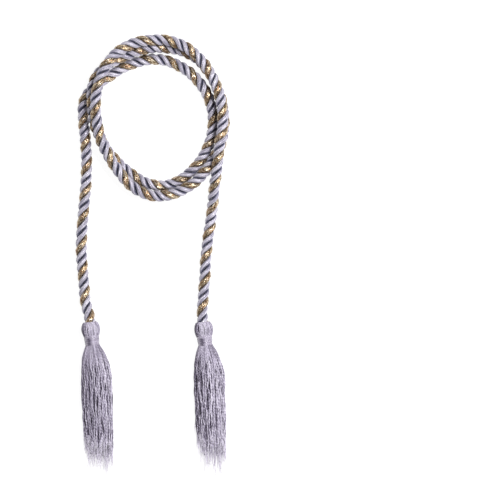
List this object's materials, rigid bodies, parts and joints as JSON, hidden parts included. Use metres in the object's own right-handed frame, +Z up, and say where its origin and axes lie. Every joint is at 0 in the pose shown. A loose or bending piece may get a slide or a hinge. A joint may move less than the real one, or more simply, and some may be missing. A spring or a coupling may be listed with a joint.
{
  "type": "curtain tieback with tassels",
  "caption": "Curtain tieback of twisted rope with a lurex ply, lying in loose turns, and a bound thread tassel on each end.",
  "frame": {"origin": "centre of the tieback's outline on the surface that it lies on", "axes": "+Z up from that surface; +Y from the tassels towards the turns of rope; +X to the right when seen from above"},
  "size_m": [0.1388, 0.3937, 0.0309],
  "materials": {
    "silver_ply": "satin twisted yarn, silver lilac, on two of the rope's three plies",
    "gold_ply": "glittering gold lurex yarn, on the rope's third ply",
    "tassel_thread": "fine soft thread, lilac grey",
    "binding_thread": "shiny wound satin thread, lilac grey"
  },
  "bodies": {
    "root": {"rope": "silver_ply", "left_tassel": "tassel_thread", "left_binding": "binding_thread", "right_tassel": "tassel_thread", "right_binding": "binding_thread"}
  },
  "joints": []
}
